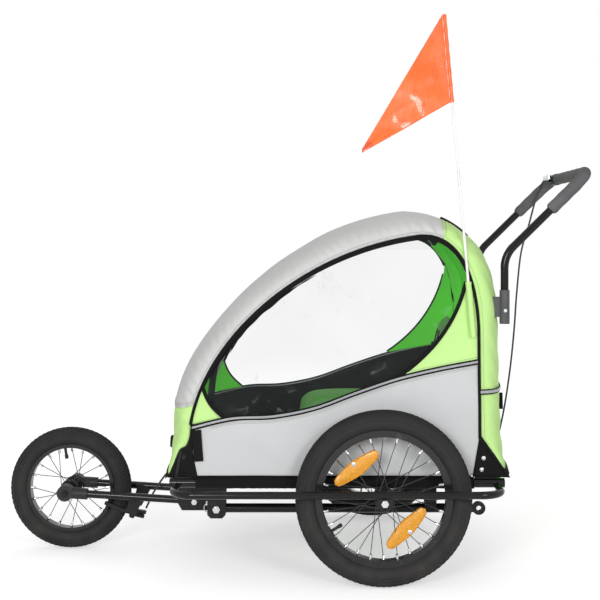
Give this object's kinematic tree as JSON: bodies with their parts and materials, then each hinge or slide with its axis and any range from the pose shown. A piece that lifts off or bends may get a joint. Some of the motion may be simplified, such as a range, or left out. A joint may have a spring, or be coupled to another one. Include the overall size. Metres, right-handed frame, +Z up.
{
  "type": "child bicycle trailer",
  "caption": "Two-seat child bicycle trailer set up as a jogger, with spoked wheels, cloth cabin, folding frame, push handle, front brake, stowed tow arm and safety flag.",
  "frame": {"origin": "on the ground, under the middle of the overall length and width", "axes": "+Z up, -X forward to the front wheel, -Y the trailer's left side, seen in the picture"},
  "size_m": [1.4459, 0.804, 1.3223],
  "materials": {
    "black_tube": "gloss black paint",
    "black_plate": "satin black paint",
    "steel": "zinc plated",
    "alloy": "polished",
    "tyre": "matte black rubber",
    "rubber": "matte black rubber",
    "foam": "matte dark grey foam",
    "black_plastic": "moulded black plastic",
    "grey_plastic": "moulded dark grey plastic",
    "gloss_black": "gloss black",
    "amber": "amber reflector",
    "pole": "white glass fibre",
    "flag_film": "glossy orange film",
    "green_cloth": "lime green woven polyester",
    "grey_cloth": "light grey woven polyester",
    "black_cloth": "black woven polyester",
    "window_film": "clear flexible film",
    "cable": "black cable housing"
  },
  "bodies": {
    "chassis": {"floor_frame": "black_tube", "guard_tube_left": "black_tube", "guard_tube_right": "black_tube", "axle_dropouts": "black_plate", "floor_panel": "black_cloth", "hinge_brackets": "black_plate", "hinge_bolts": "steel", "jogger_brackets": "black_plate", "jogger_arm_left": "black_tube", "jogger_arm_right": "black_tube", "jogger_pins": "steel", "fork_ends": "black_plastic", "front_axle": "steel", "brake_bridge": "black_plate", "rear_axles": "steel", "brake_cable_upper": "cable", "brake_cable_lower": "cable", "tow_bracket": "black_plate", "tow_pins": "steel", "canopy_roof": "grey_cloth", "front_panel": "green_cloth", "rear_panel": "green_cloth", "side_panel_left": "grey_cloth", "side_panel_right": "grey_cloth", "window_left": "window_film", "window_right": "window_film", "seat_base": "green_cloth", "seat_back": "green_cloth", "harness": "black_cloth"},
    "left_wheel": {"left_tyre": "tyre", "left_rim": "gloss_black", "left_spokes": "steel", "left_hub": "black_plate", "left_reflectors": "amber"},
    "right_wheel": {"right_tyre": "tyre", "right_rim": "gloss_black", "right_spokes": "steel", "right_hub": "black_plate", "right_reflectors": "amber"},
    "front_wheel": {"front_tyre": "tyre", "front_rim": "gloss_black", "front_spokes": "steel", "front_hub": "black_plate"},
    "rear_hoop": {"rear_hoop": "black_tube", "handle_sockets": "grey_plastic", "handle_bar": "black_tube", "handle_grip": "foam", "lever_perch": "black_plastic", "flag_pocket": "green_cloth", "flag_pole": "pole", "flag": "flag_film"},
    "front_arch": {"front_arch": "black_tube"},
    "tow_arm": {"tow_arm": "black_tube"},
    "brake_lever": {"brake_lever": "alloy"},
    "caliper_left": {"caliper_arm_left": "alloy", "brake_pad_left": "rubber"},
    "caliper_right": {"caliper_arm_right": "alloy", "brake_pad_right": "rubber"},
    "snap_left": {"snap_button_left": "steel"},
    "snap_right": {"snap_button_right": "steel"}
  },
  "joints": [
    {"name": "left_wheel_spin", "type": "hinge", "parent": "chassis", "child": "left_wheel", "pos_m": [0.216, -0.337, 0.2], "axis": [0, 1, 0], "continuous": true},
    {"name": "right_wheel_spin", "type": "hinge", "parent": "chassis", "child": "right_wheel", "pos_m": [0.216, 0.337, 0.2], "axis": [0, 1, 0], "continuous": true},
    {"name": "front_wheel_spin", "type": "hinge", "parent": "chassis", "child": "front_wheel", "pos_m": [-0.57, 0, 0.1525], "axis": [0, 1, 0], "continuous": true},
    {"name": "rear_fold", "type": "hinge", "parent": "chassis", "child": "rear_hoop", "pos_m": [0.454, 0, 0.283], "axis": [0, -1, 0], "range_deg": [0, 60], "deforming": ["canopy_roof", "rear_panel", "side_panel_left", "side_panel_right", "window_left", "window_right", "seat_back", "harness", "brake_cable_upper"]},
    {"name": "arch_fold", "type": "hinge", "parent": "chassis", "child": "front_arch", "pos_m": [-0.244, 0, 0.283], "axis": [0, 1, 0], "range_deg": [0, 36.05]},
    {"name": "tow_swing", "type": "hinge", "parent": "chassis", "child": "tow_arm", "pos_m": [-0.179, -0.18, 0.141], "axis": [0, 1, 0], "range_deg": [0, 175]},
    {"name": "lever_squeeze", "type": "hinge", "parent": "rear_hoop", "child": "brake_lever", "pos_m": [0.682, 0.152, 0.95], "axis": [0, 0, 1], "range_deg": [0, 10], "stiffness_Nm_per_rad": 4},
    {"name": "caliper_left_pivot", "type": "hinge", "parent": "chassis", "child": "caliper_left", "pos_m": [-0.41053, 0, 0.08807], "axis": [-0.3746, 0, -0.9272], "range_deg": [0, 1.72]},
    {"name": "caliper_right_pivot", "type": "hinge", "parent": "chassis", "child": "caliper_right", "pos_m": [-0.41053, 0, 0.08807], "axis": [0.3746, 0, 0.9272], "range_deg": [0, 1.72]},
    {"name": "snap_left_press", "type": "slide", "parent": "rear_hoop", "child": "snap_left", "axis": [0, 1, 0], "range_m": [0, 0.003], "stiffness_N_per_m": 1500},
    {"name": "snap_right_press", "type": "slide", "parent": "rear_hoop", "child": "snap_right", "axis": [0, -1, 0], "range_m": [0, 0.003], "stiffness_N_per_m": 1500}
  ],
  "couplings": [
    {"joint": "arch_fold", "follows": "rear_fold", "ratio": 0.6},
    {"joint": "caliper_left_pivot", "follows": "lever_squeeze", "ratio": 0.17},
    {"joint": "caliper_right_pivot", "follows": "lever_squeeze", "ratio": 0.17}
  ]
}
